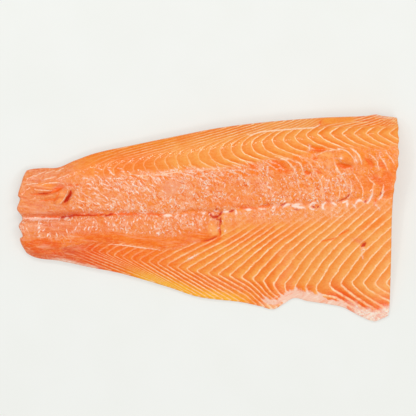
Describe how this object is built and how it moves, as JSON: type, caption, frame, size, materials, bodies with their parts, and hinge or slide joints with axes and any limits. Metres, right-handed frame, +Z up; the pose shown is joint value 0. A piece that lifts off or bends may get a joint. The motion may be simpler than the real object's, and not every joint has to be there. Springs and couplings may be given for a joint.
{
  "type": "raw salmon fillet",
  "caption": "Tail-side fillet of raw salmon lying on its skin, with a spine furrow, chevron muscle layers and a straight knife cut at the thick end.",
  "frame": {"origin": "on the resting plane, below the middle of the fillet's bounding box", "axes": "+X along the fish from the tail end to the knife cut, +Y from the belly edge to the back edge, +Z up from the skin to the cut flesh"},
  "size_m": [0.3068, 0.167, 0.0299],
  "materials": {
    "flesh": "wet raw orange flesh with white muscle lines, silvery skin below"
  },
  "bodies": {
    "root": {"fillet": "flesh"}
  },
  "joints": []
}
